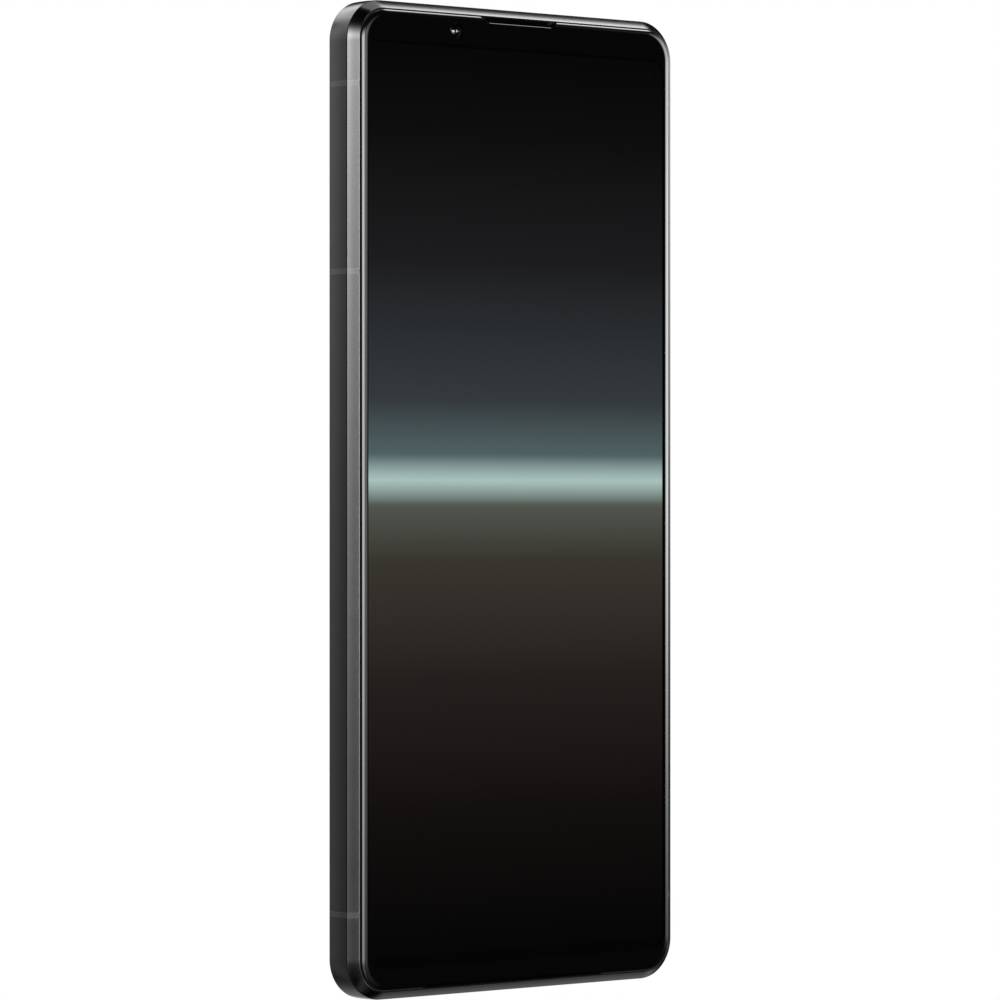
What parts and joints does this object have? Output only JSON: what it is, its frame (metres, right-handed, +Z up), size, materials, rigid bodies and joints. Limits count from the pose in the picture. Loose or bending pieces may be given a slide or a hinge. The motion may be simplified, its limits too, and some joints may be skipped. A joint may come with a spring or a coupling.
{
  "type": "smartphone",
  "caption": "Tall slim slab smartphone: chamfered metal side frame, edge-to-edge glass front with lit display, glass rear with raised camera island, side keys, card tray and sockets.",
  "frame": {"origin": "centre of the bottom edge, where the phone stands upright", "axes": "+Z up the long axis to the top edge with the earpiece, -Y out of the screen, +Y out of the rear glass, +X towards the side wall with the keys"},
  "size_m": [0.0675, 0.0092, 0.156],
  "materials": {
    "frame_metal": "satin bead-blasted anodising",
    "key_metal": "satin anodising",
    "break_plastic": "satin",
    "screen_glass": "polished",
    "rear_glass": "polished, black backed",
    "camera_glass": "polished",
    "gasket_rubber": "matte",
    "display": "emissive panel",
    "copper": "satin",
    "flex_film": "satin",
    "black_plastic": "fine texture",
    "board": "solder mask",
    "stamped_steel": "stamped",
    "chip_epoxy": "matte",
    "contact_gold": "polished",
    "switch_dome": "polished",
    "mesh_black": "woven mesh",
    "cone_film": "satin",
    "heavy_metal": "ground",
    "battery_foil": "laminated foil",
    "adhesive": "tacky",
    "seal_rubber": "matte",
    "cable_jacket": "satin",
    "ferrite": "matte",
    "sensor_glass": "polished",
    "lens_black": "polished optics",
    "module_metal": "stamped",
    "flash_lens": "diffusing",
    "trim_ring": "turned"
  },
  "bodies": {
    "phone": {"side_frame": "frame_metal", "antenna_breaks": "break_plastic", "cover_glass": "screen_glass", "display_gasket": "gasket_rubber", "oled_panel": "display", "display_backing": "copper", "display_flex": "flex_film", "front_camera": "lens_black", "earpiece_receiver": "stamped_steel", "earpiece_mesh": "mesh_black", "proximity_sensor": "black_plastic", "loudspeaker_box": "black_plastic", "loudspeaker_magnet": "stamped_steel", "loudspeaker_mesh": "mesh_black", "main_board": "board", "shield_cans": "stamped_steel", "logic_chips": "chip_epoxy", "heat_spreader": "copper", "card_reader": "stamped_steel", "audio_jack": "black_plastic", "jack_contacts": "contact_gold", "sub_board": "board", "usb_shell": "stamped_steel", "usb_tongue": "black_plastic", "usb_seal": "seal_rubber", "microphones": "contact_gold", "vibration_case": "stamped_steel", "battery": "battery_foil", "battery_adhesive": "adhesive", "battery_flex": "flex_film", "main_flex": "flex_film", "coax_cable": "cable_jacket", "key_brackets": "stamped_steel", "key_flex": "flex_film", "dome_switches": "switch_dome", "ferrite_sheet": "ferrite", "charging_coil": "copper", "top_antenna_carrier": "black_plastic", "bottom_antenna_carrier": "black_plastic", "screws": "stamped_steel", "rear_adhesive": "adhesive", "rear_cover": "rear_glass", "camera_bezel": "key_metal", "camera_window": "camera_glass", "ultrawide_camera": "lens_black", "main_camera_housing": "module_metal", "tele_camera_housing": "module_metal", "flash_module": "flash_lens", "lens_trim_rings": "trim_ring"},
    "volume_rocker": {"volume_key": "key_metal"},
    "power_button": {"power_key": "key_metal", "fingerprint_sensor": "sensor_glass"},
    "shutter_button": {"shutter_key": "key_metal"},
    "card_tray": {"sim_tray": "key_metal", "tray_seal": "seal_rubber"},
    "vibration_weight": {"vibration_mass": "heavy_metal"},
    "earpiece_diaphragm": {"receiver_cone": "cone_film"},
    "loudspeaker_diaphragm": {"loudspeaker_cone": "cone_film"},
    "main_focus_lens": {"main_camera_lens": "lens_black"},
    "tele_focus_lens": {"tele_camera_lens": "lens_black"}
  },
  "joints": [
    {"name": "volume_rock", "type": "hinge", "parent": "phone", "child": "volume_rocker", "pos_m": [0.031, -0.00007, 0.125], "axis": [0, 1, 0], "range_deg": [-1.2, 1.2], "stiffness_Nm_per_rad": 0.6},
    {"name": "power_press", "type": "slide", "parent": "phone", "child": "power_button", "axis": [-1, 0, 0], "range_m": [0, 0.00025], "stiffness_N_per_m": 6400},
    {"name": "shutter_press", "type": "slide", "parent": "phone", "child": "shutter_button", "axis": [-1, 0, 0], "range_m": [0, 0.00035], "stiffness_N_per_m": 3500},
    {"name": "tray_slide", "type": "slide", "parent": "phone", "child": "card_tray", "axis": [0, 0, 1], "range_m": [0, 0.018]},
    {"name": "vibration_shuttle", "type": "slide", "parent": "phone", "child": "vibration_weight", "axis": [1, 0, 0], "range_m": [-0.00035, 0.00035], "stiffness_N_per_m": 900},
    {"name": "earpiece_stroke", "type": "slide", "parent": "phone", "child": "earpiece_diaphragm", "axis": [0, 1, 0], "range_m": [-0.0001, 0.0001], "stiffness_N_per_m": 300},
    {"name": "loudspeaker_stroke", "type": "slide", "parent": "phone", "child": "loudspeaker_diaphragm", "axis": [0, 1, 0], "range_m": [-0.0002, 0.0002], "stiffness_N_per_m": 1000},
    {"name": "main_focus", "type": "slide", "parent": "phone", "child": "main_focus_lens", "axis": [0, 1, 0], "range_m": [0, 0.0003], "stiffness_N_per_m": 50},
    {"name": "tele_focus", "type": "slide", "parent": "phone", "child": "tele_focus_lens", "axis": [0, 1, 0], "range_m": [0, 0.0003], "stiffness_N_per_m": 50}
  ]
}
